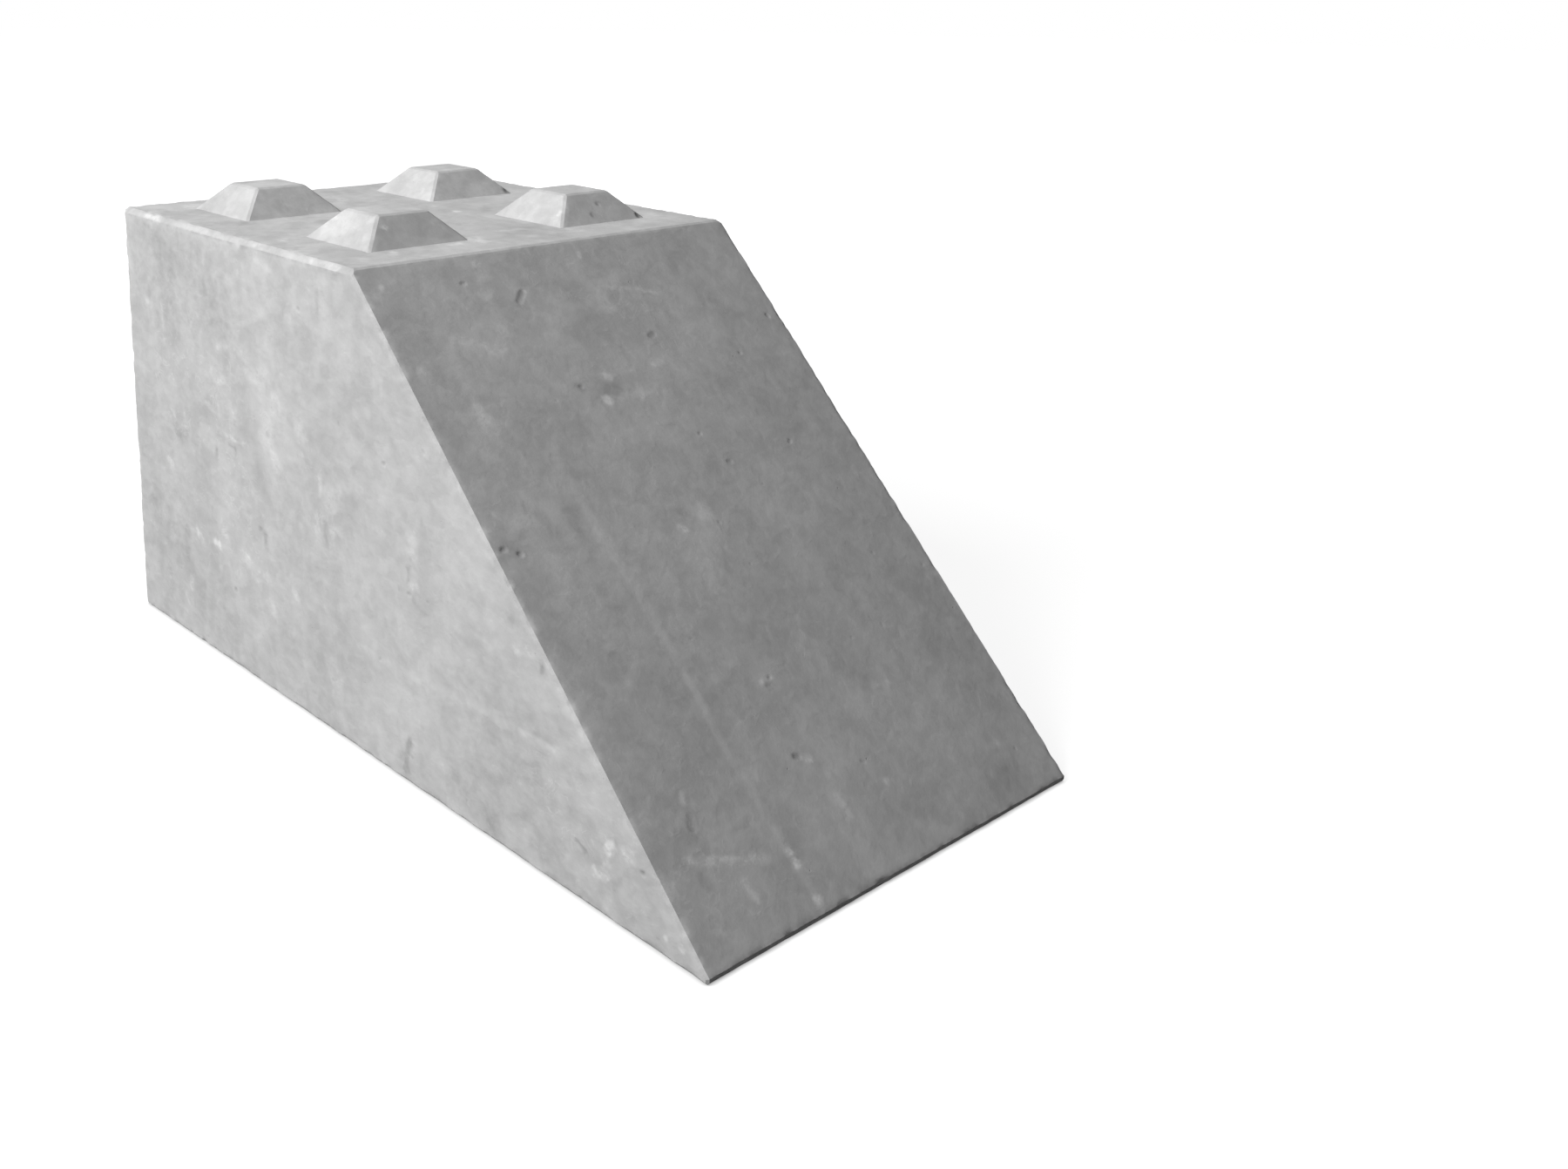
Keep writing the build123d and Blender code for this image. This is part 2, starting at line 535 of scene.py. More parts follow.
# How far apart two points in one place may be, and the least turn or length, in metres
TOUCHING = 1e-6
TINY = 1e-9
# Points of one place agree to this many decimals, in metres.
DECIMALS = 6
# A face is nearly level where its normal is this much upright.
NEARLY_LEVEL = 0.9
# The fewest places at which the size is read along an edge
FEWEST_SAMPLES = 8
# A face looks down, back or away where its normal has more than this of that way.
FACING = 0.6
# The hidden faces' triangles are this much wider along arrises and marks.
HIDDEN_COARSER = 1.5
# A hollow is meshed finely out to this share of its radius.
PIT_RIM = 1.4
# Points inside a face stay this share of the size away from its outline.
RIM_CLEARANCE = 0.55
# Marks with a half width up to this, in millimetres, are meshed finely.
NARROW_MARK = 16


def numbered(points, held):
    """Each point's number in held, {rounded point: (number, point)}, with new ones added."""
    ids = []
    for point in points:
        key = tuple(np.round(point, DECIMALS))
        ids.append(held.setdefault(key, (len(held), point))[0])
    return ids


def held_points(held):
    """The points held, in the order of their numbers."""
    return np.array([point for _, point in held.values()])


def in_plane(points, plane):
    """Points by the two axes of a plane, which is (origin, one axis, the other)."""
    origin, u, v = plane
    return np.stack([(points - origin) @ u, (points - origin) @ v], 1)


def in_space(points, plane):
    """Points that are given by a plane's axes, in the frame."""
    origin, u, v = plane
    return origin + points[:, :1] * u + points[:, 1:] * v


def flat_faces(obj):
    """Each flat face of a mesh: [normal, offset, {(start, end): a point inside} all round]."""
    mesh = obj.data
    mesh.calc_loop_triangles()
    faces = []
    for triangle in mesh.loop_triangles:
        spots = [np.array(mesh.vertices[i].co, float) for i in triangle.vertices]
        a, b, c = np.round(spots, DECIMALS)
        normal = np.cross(b - a, c - a)
        if norm(normal) < NO_AREA:
            continue
        normal = normal / norm(normal)
        for face in faces:
            if face[0] @ normal > SAME_WAY and abs(face[1] - normal @ a) < SAME_PLANE:
                break
        else:
            face = [normal, normal @ a, {}]
            faces.append(face)
        corners = [tuple(a), tuple(b), tuple(c)]
        for i in range(3):
            face[2][(corners[i], corners[(i + 1) % 3])] = corners[(i + 2) % 3]
    for face in faces:
        face[2] = {e: apex for e, apex in face[2].items() if (e[1], e[0]) not in face[2]}
    return faces


def edge_sides(faces):
    """{edge: [(normal, a point inside the face) for the two faces that meet there]}."""
    sides = {}
    for normal, _, outline in faces:
        for edge, apex in outline.items():
            sides.setdefault(tuple(sorted(edge)), []).append((normal, np.array(apex)))
    return {edge: found for edge, found in sides.items() if len(found) == 2}


def is_arris(edge, found):
    """Whether two faces meet at an outer corner rather than an inner one."""
    return (found[0][1] - np.array(edge[0])) @ found[1][0] < -TINY


def capsule_gaps(points, starts, ends):
    """The distance from every point to every segment, and how far along each it is nearest."""
    along = ends - starts
    length2 = np.maximum((along**2).sum(1), TINY**2)
    to = points[:, None, :] - starts[None]
    t = np.clip((to * along[None]).sum(2) / length2[None], 0.0, 1.0)
    gaps = to - t[..., None] * along[None]
    return np.sqrt((gaps**2).sum(2)), t


def near_segments(points, starts, ends, margin=FAR, chunk=1500):
    """For each run of the points: (the run, the segments near it, their gaps, how far along)."""
    lows, highs = np.minimum(starts, ends), np.maximum(starts, ends)
    for first in range(0, len(points), chunk):
        part = points[first:first + chunk]
        low, high = part.min(0) - margin, part.max(0) + margin
        near = np.nonzero(((highs >= low) & (lows <= high)).all(1))[0]
        if len(near):
            run = slice(first, first + len(part))
            yield run, near, *capsule_gaps(part, starts[near], ends[near])


def nearest_gap(points, starts, ends, reach=None):
    """How far each point lies outside the nearest segment's reach, or FAR where none is near."""
    reach = np.zeros(len(starts)) if reach is None else reach
    nearest = np.full(len(points), FAR)
    for run, near, gaps, _ in near_segments(points, starts, ends, FAR + reach.max()):
        nearest[run] = np.clip((gaps - reach[near]).min(1), 0.0, FAR)
    return nearest


def segments(pairs):
    """Arrays of the starts and the ends of pairs of points."""
    return np.array([a for a, b in pairs], float), np.array([b for a, b in pairs], float)


def pit_segment(pit):
    """A hollow's two ends, for one that is longer than it is wide."""
    (place, aim), _, _, length = pit
    way = Vector(aim) - Vector(place)
    return place, tuple(Vector(place) + way.normalized() * length * MM)


def mark_segments(marks):
    """Arrays of the start, end, half width and strength of each straight part of each mark."""
    parts = [
        (a, b, half_width * MM, strength)
        for line, half_width, strength in marks
        for a, b in zip(line, line[1:] or line)
    ]
    return [np.array(values, float) for values in zip(*parts)]


class Sizing:
    """How long the triangles' sides are at a place, in metres."""

    def __init__(self, edges, under_edges, pits, marks):
        self.edges = segments(edges)
        self.under_edges = segments(under_edges)
        self.pits = segments([pit_segment(pit) for pit in pits])
        self.pit_reach = np.array([pit[1] * PIT_RIM * MM for pit in pits])
        *self.marks, self.mark_reach, _ = mark_segments(marks)

    def at(self, points, base):
        """The size at each point of a face whose widest triangles are base."""
        growth = SIZE_GROWTH
        under = base > HIDDEN_SIZE * MM
        coarse = 1.0 if base <= NEAR_SIZE * MM else HIDDEN_COARSER
        edges = self.under_edges if under else self.edges
        fine = UNDER_ARRIS_SIZE if under else ARRIS_SIZE * coarse
        gap = np.maximum(nearest_gap(points, *edges) - ARRIS_BAND * MM, 0.0)
        size = np.minimum(base, fine * MM + growth * gap)
        if under:
            return size
        gap = nearest_gap(points, *self.pits, self.pit_reach)
        size = np.minimum(size, PIT_SIZE * MM + growth * gap)
        gap = nearest_gap(points, *self.marks, self.mark_reach)
        return np.minimum(size, MARK_SIZE * coarse * MM + growth * gap)


def is_under(normal):
    """Whether a face looks down, as the underside and the sockets' faces do."""
    return normal[2] < -FACING


def base_size(normal):
    """The widest triangles of a face, by how well it is seen."""
    if is_under(normal):
        return UNDER_SIZE * MM
    if normal[0] < -FACING or normal[1] > FACING:
        return HIDDEN_SIZE * MM
    return NEAR_SIZE * MM


def edge_points(edge, sizing, base):
    """Points along an edge, as far apart as the size there asks."""
    p, q = np.array(edge[0]), np.array(edge[1])
    length = norm(q - p)
    samples = max(FEWEST_SAMPLES, int(length / MM))
    t = np.linspace(0.0, 1.0, samples + 1)
    middles = p + (q - p) * ((t[1:] + t[:-1]) / 2)[:, None]
    total = np.concatenate([[0.0], np.cumsum(length / samples / sizing.at(middles, base))])
    count = max(1, round(total[-1]))
    places = np.interp(np.linspace(0.0, total[-1], count + 1), total, t)
    return p + (q - p) * places[:, None]


def inside(points, starts, ends, chunk=4000):
    """Which 2-D points lie inside an outline, holes left out, by counting crossings."""
    result = np.empty(len(points), bool)
    rise = ends[:, 1] - starts[:, 1]
    slant = (ends[:, 0] - starts[:, 0]) / np.where(np.abs(rise) < 1e-15, 1.0, rise)
    for first in range(0, len(points), chunk):
        x = points[first:first + chunk, :1]
        y = points[first:first + chunk, 1:]
        spans = (starts[:, 1] > y) != (ends[:, 1] > y)
        crossed = spans & (x < starts[:, 0] + (y - starts[:, 1]) * slant)
        result[first:first + chunk] = crossed.sum(1) % 2 == 1
    return result


def grid_level(low, high, size, cell_sizes, columns):
    """A triangular grid's points of one size, in the cells where that size may be wanted."""
    rows = np.arange(low[1] + size / 2, high[1], size * math.sqrt(3.0) / 2)
    cols = np.arange(low[0], high[0], size)
    x, y = np.meshgrid(cols, rows)
    x = x + (np.arange(len(rows)) % 2)[:, None] * size / 2
    points = np.stack([x.ravel(), y.ravel()], 1)
    cell = ((points - low) // (CELL * MM)).astype(int)
    found = cell_sizes[np.minimum(cell[:, 0], columns - 1) + columns * cell[:, 1]]
    slack = SIZE_GROWTH * CELL * MM * math.sqrt(0.5)
    return points[(found - slack <= size * HALF_STEP) & (found + slack > size / HALF_STEP)]


def inner_points(plane, rim, starts, ends, sizing, base):
    """Points inside a flat face, in its plane, as far apart as the size there asks."""
    low, high = rim.min(0), rim.max(0)
    columns, rows = (int((high[i] - low[i]) // (CELL * MM)) + 1 for i in (0, 1))
    across, up = np.meshgrid(np.arange(columns) + 0.5, np.arange(rows) + 0.5)
    centres = low + np.stack([across.ravel(), up.ravel()], 1) * CELL * MM
    cell_sizes = sizing.at(in_space(centres, plane), base)
    inner = []
    size = base
    while size > SMALLEST_SIZE * MM:
        points = grid_level(low, high, size, cell_sizes, columns)
        points = points[inside(points, starts, ends)]
        if len(points):
            wanted = sizing.at(in_space(points, plane), base)
            gap = nearest_gap(points, starts, ends)
            fits = (wanted > size / HALF_STEP) & (wanted <= size * HALF_STEP)
            inner.append(points[fits & (gap > RIM_CLEARANCE * wanted)])
        size /= LEVEL_STEP
    return inner


def triangulated(flat, edges, starts, ends):
    """Points in a plane, which of the given ones each is, and the outline's triangles."""
    made = delaunay_2d_cdt([Vector(point) for point in flat], edges, [], 0, TINY)
    coords, _, triangles, sources = made[:4]
    coords = np.array([tuple(c) for c in coords])
    triangles = np.array(triangles)
    a, b, c = (coords[triangles[:, i]] for i in range(3))
    area = (b[:, 0] - a[:, 0]) * (c[:, 1] - a[:, 1]) - (b[:, 1] - a[:, 1]) * (c[:, 0] - a[:, 0])
    longest = np.max([norm(q - p, axis=1) for p, q in ((a, b), (b, c), (c, a))], axis=0)
    kept = (np.abs(area) > LOWEST * longest) & inside((a + b + c) / 3, starts, ends)
    triangles = triangles[kept]
    triangles[area[kept] < 0] = triangles[area[kept] < 0][:, ::-1]
    return coords, sources, triangles


def fill_face(normal, outline, lines, sizing, base):
    """The points and triangles of one flat face, whose outline is divided as lines say."""
    held, edges = {}, []
    for line in lines:
        ids = numbered(line, held)
        edges += list(zip(ids, ids[1:]))
    rim = held_points(held)
    u = np.cross(normal, (0.0, 0.0, 1.0) if abs(normal[2]) < NEARLY_LEVEL else (1.0, 0.0, 0.0))
    u = u / norm(u)
    plane = (rim[0], u, np.cross(normal, u))
    flat = in_plane(rim, plane)
    starts, ends = (in_plane(side, plane) for side in segments(outline))
    inner = inner_points(plane, flat, starts, ends, sizing, base)
    flat = np.concatenate([flat, *inner])
    coords, sources, triangles = triangulated(flat, edges, starts, ends)
    points = in_space(coords, plane)
    for new, found in enumerate(sources):
        if found and found[0] < len(rim):
            points[new] = rim[found[0]]
    return points, triangles


def dense_skin(obj, pits, marks):
    """The node's skin again, finer: its points, triangles, and the arrises with their sides."""
    faces = flat_faces(obj)
    sides = edge_sides(faces)
    under = {edge: [is_under(normal) for normal, _ in found] for edge, found in sides.items()}
    upper_edges = [edge for edge, below in under.items() if not all(below)]
    under_edges = [edge for edge, below in under.items() if any(below)]
    sizing = Sizing(upper_edges, under_edges, pits, marks)
    lines = {}
    for edge, found in sides.items():
        lines[edge] = edge_points(edge, sizing, min(base_size(n) for n, _ in found))
    held, triangles = {}, []
    for normal, _, outline in faces:
        edges = [tuple(sorted(edge)) for edge in outline]
        face_lines = [lines[edge] for edge in edges]
        found, face_triangles = fill_face(normal, edges, face_lines, sizing, base_size(normal))
        triangles.append(np.array(numbered(found, held))[face_triangles])
    return held_points(held), np.concatenate(triangles), sides


# The cast surface. Depths and reaches are in millimetres.

# A noise shifted by this is unlike the first
OTHER = Vector((17.3, -4.1, 9.7))
# How deep its slow waves and its ripples go, and how many there are to a metre
WAVE_DEPTH, WAVE_RATE = 0.55, 3.1
RIPPLE_DEPTH, RIPPLE_RATE = 0.18, 17.0
# An arris is worn by EVEN_WEAR and by waves, each (depth, how many to a metre, shift), and
# chipped where a noise passes CHIP_START.
EVEN_WEAR = 0.6
ARRIS_WAVES = ((1.1, 11.0, 0.0), (1.6, 46.0, 1.0), (0.8, 105.0, -1.0))
CHIP_DEPTH, CHIP_RATE, CHIP_START = 6.0, 31.0, 0.45
# How much of that wear the studs take
STUD_WEAR = 0.6
# How far from an arris the shape is worn, and how far it is painted paler, for its wear and as a
# painted highlight
ARRIS_REACH = 7.0
WEAR_AND_HIGHLIGHT_REACH = 12.0
# How much paler an arris is painted, for its wear and as a painted highlight, without wear and
# for each millimetre of it
BARE_LOOK = 0.35
WORN_LOOK = 0.3
# A hollow's bowl reaches this share of its radius
BOWL = 1.15
# A mark is whole up to MARK_CORE of its half width and gone past MARK_END, and both move in
# and out by waves. It is looked for out to MARK_REACH.
MARK_CORE = 0.3
MARK_END = 1.5
MARK_REACH = 2.5
BORDER_WAVES = ((0.8, 34.0, 0.0), (0.6, 95.0, 1.0))
# How much of those waves a seam's straight border takes
SEAM_RAGGED = 0.25
# A normal is of the slope in part from this much of its way, and wholly past the span.
SLOPE_START, SLOPE_SPAN = 0.9, 0.1
# What lies lower than this stands on the floor and stays there
STANDING = 0.1 * MM


def waves_at(p, waves):
    """The sum of several waves at a point."""
    return sum(depth * noise.noise(p * rate + OTHER * shift) for depth, rate, shift in waves)


def unevenness(p):
    """How far the cast face lies under the flat one at a point, in millimetres."""
    wave = WAVE_DEPTH * (1.0 + noise.noise(p * WAVE_RATE))
    return wave + RIPPLE_DEPTH * (1.0 + noise.noise(p * RIPPLE_RATE + OTHER))


def chipping(p):
    """How far an arris is worn back at a point on it, in millimetres, least on the studs."""
    chip = CHIP_DEPTH * max(0.0, noise.noise(p * CHIP_RATE - OTHER) - CHIP_START)
    worn = max(0.0, EVEN_WEAR + waves_at(p, ARRIS_WAVES)) + chip
    return worn * STUD_WEAR if p.z > TOP_Z + 2 * MM else worn


def vertex_normals(points, triangles):
    """The mean normal at each point, by area."""
    a, b, c = (points[triangles[:, i]] for i in range(3))
    crossed = np.cross(b - a, c - a)
    normals = np.zeros_like(points)
    for i in range(3):
        np.add.at(normals, triangles[:, i], crossed)
    return normals / np.maximum(norm(normals, axis=1), 1e-15)[:, None]


def arris_wear_and_highlight(points, arrises):
    """How each point moves because its arris is worn, and how much paler it is painted, 0 to 1,
    for its wear and as a painted highlight.
    """
    starts, ends = segments(list(arrises))
    inward = np.array([-(found[0][0] + found[1][0]) for found in arrises.values()])
    inward = inward / norm(inward, axis=1)[:, None]
    turn = [norm(np.cross(found[0][0], found[1][0])) for found in arrises.values()]
    # an arris is less bare where the faces beside it turn by less than 45 degrees
    bareness = np.minimum(1.0, 2.0 * np.array(turn) ** 2)
    move = np.zeros_like(points)
    wear_and_highlight = np.zeros(len(points))
    for run, near, gaps, t in near_segments(points, starts, ends, WEAR_AND_HIGHLIGHT_REACH * MM):
        for i in np.nonzero(gaps.min(1) < WEAR_AND_HIGHLIGHT_REACH * MM)[0]:
            nearest = int(gaps[i].argmin())
            arris = near[nearest]
            gap = gaps[i, nearest] / MM
            place = Vector(starts[arris] + (ends[arris] - starts[arris]) * t[i, nearest])
            depth = chipping(place) * bareness[arris]
            fall = max(0.0, 1.0 - gap / ARRIS_REACH) ** 2
            move[run.start + i] = inward[arris] * depth * fall * MM
            look = min(1.0, BARE_LOOK * bareness[arris] + WORN_LOOK * depth)
            wear_and_highlight[run.start + i] = (1.0 - gap / WEAR_AND_HIGHLIGHT_REACH) * look
    return move, wear_and_highlight


def pit_depths(points, pits):
    """How deep each point lies in a blow hole, in metres, and as a share of its depth."""
    starts, ends = segments([pit_segment(pit) for pit in pits])
    radius = np.array([pit[1] for pit in pits]) * MM
    depth = np.array([pit[2] for pit in pits]) * MM
    deep = np.zeros(len(points))
    share = np.zeros(len(points))
    for run, near, gaps, _ in near_segments(points, starts, ends):
        bowl = np.maximum(0.0, 1.0 - (gaps / radius[near] / BOWL) ** 2)
        deep[run] = (bowl * depth[near]).max(1)
        share[run] = bowl.max(1)
    return deep, share


def mark_strength(points, marks, ragged=1.0):
    """How strongly the marks show at each point, with ragged borders."""
    starts, ends, half_width, strength = mark_segments(marks)
    shown = np.zeros(len(points))
    uneven = ragged * np.array([waves_at(Vector(p), BORDER_WAVES) for p in points])
    for run, near, gaps, _ in near_segments(points, starts, ends, MARK_REACH * half_width.max()):
        across = gaps / half_width[near] + uneven[run, None]
        fade = np.clip((MARK_END - across) / (MARK_END - MARK_CORE), 0.0, 1.0)
        shown[run] = (fade * fade * (3.0 - 2.0 * fade) * strength[near]).max(1)
    return shown


def cast_surface(points, triangles, arrises, pits, pale, dark):
    """The points moved to the uneven, worn and pitted surface, and the values painted there."""
    normals = vertex_normals(points, triangles)
    uneven = np.array([unevenness(Vector(p)) for p in points]) * MM
    move, wear_and_highlight = arris_wear_and_highlight(points, arrises)
    deep, share = pit_depths(points, pits)
    moved = points - normals * (uneven + deep)[:, None] + move
    standing = points[:, 2] < STANDING
    moved[standing, 2] = points[standing, 2]
    moved = np.clip(moved, np.array(LOW), np.array(HIGH))
    facing = normals @ np.array(OUT_OF_SLOPE)
    painted = {
        # the arrises painted paler, for their wear and as a painted highlight
        "wear_and_highlight": wear_and_highlight,
        # the blow holes' depth share, which darkens them as painted shade
        "pit": share,
        "seam": mark_strength(points, SEAMS, SEAM_RAGGED),
        "pale": mark_strength(points, pale),
        "dark": mark_strength(points, dark),
        "crazed": mark_strength(points, CRAZED),
        "slope": np.clip((facing - SLOPE_START) / SLOPE_SPAN, 0.0, 1.0),
    }
    return moved, painted


def along_corners(points, ends, sides):
    """Which mesh edges lie along the corners where the flat faces meet."""
    corners = segments(list(sides))
    along = (nearest_gap(points, *corners) < TOUCHING)[ends].all(1)
    middles = points[ends[along]].mean(1)
    along[along] = nearest_gap(middles, *corners) < TOUCHING
    return along


def added(name, data):
    """A new object in the scene."""
    made = bpy.data.objects.new(name, data)
    bpy.context.scene.collection.objects.link(made)
    return made


def concrete_piece(pits, pale, dark):
    """The block as one dense mesh with its painted values."""
    narrow = [mark for mark in SEAMS + pale + dark if mark[1] <= NARROW_MARK]
    points, triangles, sides = dense_skin(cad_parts["block"], pits, narrow)
    arrises = {edge: found for edge, found in sides.items() if is_arris(edge, found)}
    moved, painted = cast_surface(points, triangles, arrises, pits, pale, dark)
    mesh = bpy.data.meshes.new("concrete_block")
    mesh.from_pydata(moved.tolist(), [], triangles.tolist())
    mesh.update()
    mesh.shade_smooth()
    for name, values in painted.items():
        attribute = mesh.attributes.new(name, "FLOAT", "POINT")
        attribute.data.foreach_set("value", values.astype(np.float32))
    ends = np.array([tuple(edge.vertices) for edge in mesh.edges])
    sharp = along_corners(points, ends, sides)
    mesh.attributes.new("sharp_edge", "BOOLEAN", "EDGE").data.foreach_set("value", sharp)
    return added("concrete_block", mesh)


# The concrete's look

CONCRETE_GREY = 0.55
# How glossy it is, how rough where smoothest and roughest, and how strong and deep its bump
GLOSS = 0.1
SMOOTHEST, ROUGHEST = 0.82, 0.95
BUMP_STRENGTH, BUMP_DEPTH = 0.5, 0.7 * MM
# The turn about Y that brings the line down the slope upright
SLOPE_TILT = math.atan2(DOWN_SLOPE.x, -DOWN_SLOPE.z)


def empty_tree(owner):
    """The node tree of a material or the world, with nothing in it."""
    owner.use_nodes = True
    owner.node_tree.nodes.clear()
    return owner.node_tree


def node(tree, kind, inputs=(), **settings):
    """A shader node with its settings, and its inputs as values or as links from sockets."""
    made = tree.nodes.new("ShaderNode" + kind)
    for name, value in settings.items():
        setattr(made, name, value)
    for name, value in dict(inputs).items():
        if isinstance(value, bpy.types.NodeSocket):
            tree.links.new(value, made.inputs[name])
        else:
            made.inputs[name].default_value = value
    return made


def calc(tree, operation, *values):
    """The result of a Math node."""
    return node(tree, "Math", dict(enumerate(values)), operation=operation).outputs[0]


def product(tree, first, *others):
    """Several values multiplied together."""
    for other in others:
        first = calc(tree, "MULTIPLY", first, other)
    return first


def weighted(tree, *parts):
    """The sum of several (value, weight) parts."""
    result = 0.0
    for value, weight in parts:
        result = calc(tree, "MULTIPLY_ADD", value, weight, result)
    return result


def ramp(tree, value, low, high, to_low, to_high):
    """The value brought smoothly from one range to another, and held at its ends."""
    inputs = {"Value": value, 1: low, 2: high, 3: to_low, 4: to_high}
    return node(tree, "MapRange", inputs, interpolation_type="SMOOTHSTEP").outputs["Result"]


def scaled(tree, place, scale, turn=0.0):
    """Coordinates turned about Y and scaled along each axis."""
    inputs = {"Vector": place, "Rotation": (0.0, turn, 0.0), "Scale": scale}
    return node(tree, "Mapping", inputs).outputs["Vector"]


def cloud(tree, place, scale, detail=3.0, roughness=0.55, distortion=0.0):
    """Noise about zero, from -1 to 1."""
    inputs = {
        "Vector": place,
        "Scale": scale,
        "Detail": detail,
        "Roughness": roughness,
        "Distortion": distortion,
    }
    made = node(tree, "TexNoise", inputs).outputs["Fac"]
    return calc(tree, "MULTIPLY_ADD", made, 2.0, -1.0)


def attribute(tree, name):
    """A value painted on the mesh."""
    return node(tree, "Attribute", attribute_name=name).outputs["Fac"]


def mixed(tree, share, first, second):
    """first where share is 0 and second where it is 1."""
    return node(tree, "Mix", {"Factor": share, 2: first, 3: second}).outputs[0]


def concrete_material():
    """Smooth cast concrete: clouds, runs, grain, pin holes, laitance, stains, and painted light
    and shade.
    """
    material = bpy.data.materials.new("concrete")
    tree = empty_tree(material)
    place = node(tree, "TexCoord").outputs["Object"]
    slope = attribute(tree, "slope")

    # runs down the upright faces, and down the slope on the slope
    upright_runs = cloud(tree, scaled(tree, place, (26.0, 26.0, 3.5)), 1.0, 2.0)
    slope_runs = cloud(tree, scaled(tree, place, (22.0, 22.0, 3.0), SLOPE_TILT), 1.0, 2.0)
    runs = mixed(tree, slope, upright_runs, slope_runs)
    strokes = cloud(tree, scaled(tree, place, (11.0, 11.0, 60.0), SLOPE_TILT), 1.0, 2.0, 0.6)

    clouds = cloud(tree, place, 5.0, 2.0, 0.5, 0.4)
    patches = cloud(tree, place, 14.0, 2.0, 0.5, 0.6)
    # what is finer is drawn out level, along the faces
    level = scaled(tree, place, (0.78, 0.86, 1.1))
    blots = cloud(tree, level, 27.0, 2.0, 0.5, 0.7)
    mottle = cloud(tree, level, 46.0, 1.0, 0.5, 0.5)
    flecks = cloud(tree, level, 100.0, 1.0, 0.5, 0.3)
    grain = cloud(tree, level, 290.0, 1.0, 0.5)
    ragged = cloud(tree, level, 60.0, 3.0, 0.7)

    # blotches with borders, where the paste lies thicker or thinner
    broad = ramp(tree, patches, -0.06, 0.08, -1.0, 1.0)
    middling = ramp(tree, blots, -0.06, 0.06, -1.0, 1.0)
    small = ramp(tree, mottle, -0.1, 0.1, -1.0, 1.0)

    # fine pale lines that wander, broken into short pieces, most of them where it is crazed
    crazed = ramp(tree, attribute(tree, "crazed"), 0.0, 1.0, 0.3, 1.0)
    wander = calc(tree, "ABSOLUTE", cloud(tree, level, 24.0, 2.0, 0.6, 1.4))
    lines = ramp(tree, wander, 0.0, 0.07, 1.0, 0.0)
    broken = ramp(tree, cloud(tree, level, 36.0, 2.0, 0.6), -0.02, 0.16, 0.0, 1.0)
    lines = product(tree, lines, broken, crazed)

    # small pale scars of laitance, and pin holes, sunk by the bump and darkened as painted shade
    scars = ramp(tree, cloud(tree, level, 30.0, 5.0, 0.65, 1.6), 0.22, 0.42, 0.0, 1.0)
    cells = node(tree, "TexVoronoi", {"Vector": place, "Scale": 55.0})
    chosen = ramp(tree, cells.outputs["Color"], 0.86, 0.88, 0.0, 1.0)
    holes = product(tree, ramp(tree, cells.outputs["Distance"], 0.04, 0.1, 1.0, 0.0), chosen)

    # the marks painted on the mesh, made uneven
    patchy = ramp(tree, ragged, -0.3, 0.3, 0.25, 1.2)
    pale = product(tree, attribute(tree, "pale"), patchy)
    dark = product(tree, attribute(tree, "dark"), ramp(tree, ragged, -0.4, 0.4, 0.6, 1.1))
    seam = product(tree, attribute(tree, "seam"), ramp(tree, ragged, -0.4, 0.2, 0.55, 1.05))
    # the arrises lightened, for their wear and as a painted highlight
    wear_and_highlight = product(tree, attribute(tree, "wear_and_highlight"), patchy)
    # painted shade in the blow holes, darkest at their middles
    pit = attribute(tree, "pit")

    # how much each lightens or darkens the grey, in shares of it
    tone = weighted(
        tree,
        (clouds, 0.14), (patches, 0.08), (broad, 0.016), (blots, 0.07), (middling, 0.014),
        (mottle, 0.055), (small, 0.01), (flecks, 0.038), (grain, 0.04), (strokes, 0.04),
        (runs, 0.045), (lines, 0.11), (scars, 0.07), (seam, 0.3), (pale, 0.34),
        (dark, -0.32), (wear_and_highlight, 0.1), (pit, -0.09), (holes, -0.18),
    )
    grey = calc(tree, "MULTIPLY", calc(tree, "ADD", tone, 1.0), CONCRETE_GREY)
    colour = node(tree, "CombineColor", {"Red": grey, "Green": grey, "Blue": grey})

    height = weighted(
        tree,
        (mottle, 0.5), (small, 0.05), (flecks, 0.25), (grain, 0.13), (lines, 0.2),
        (scars, 0.2), (seam, 0.3), (pale, 0.2), (holes, -1.0),
    )
    inputs = {"Height": height, "Strength": BUMP_STRENGTH, "Distance": BUMP_DEPTH}
    bump = node(tree, "Bump", inputs).outputs["Normal"]
    inputs = {
        "Base Color": colour.outputs["Color"],
        "Roughness": ramp(tree, patches, -0.6, 0.6, SMOOTHEST, ROUGHEST),
        "Specular IOR Level": GLOSS,
        "Normal": bump,
    }
    surface = node(tree, "BsdfPrincipled", inputs)
    node(tree, "OutputMaterial", {"Surface": surface.outputs["BSDF"]})
    return material


pits = PITS + scattered_pits()
pale_marks = PALE_MARKS + scattered_marks(pale=True)
dark_marks = DARK_MARKS + scattered_marks(pale=False)
piece = concrete_piece(pits, pale_marks, dark_marks)
piece.data.materials.append(concrete_material())
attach(piece, "root")
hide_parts("block")


# The studio: a pale floor, a soft key high over the near side, and a weaker one low behind
# the block. The white past it is there for the camera and for what mirrors it, and lights
# nothing else.

WHITE = (1.0, 1.0, 1.0, 1.0)
FLOOR_RADIUS = 30.0
FLOOR_SIDES = 96
# The floor's glow rises to white between these distances from the block's middle.
GLOW_START = 1.4
GLOW_END = 4.2
FLOOR_GLOW = 0.9
# It is darkened to CONTACT_SHADE, a painted contact shadow, where the block closes in within
# the reach, and not where CONTACT_OPEN of the directions are free.
CONTACT_REACH = 14 * MM
CONTACT_SHADE = 0.35
CONTACT_OPEN = 0.9
CONTACT_SAMPLES = 16
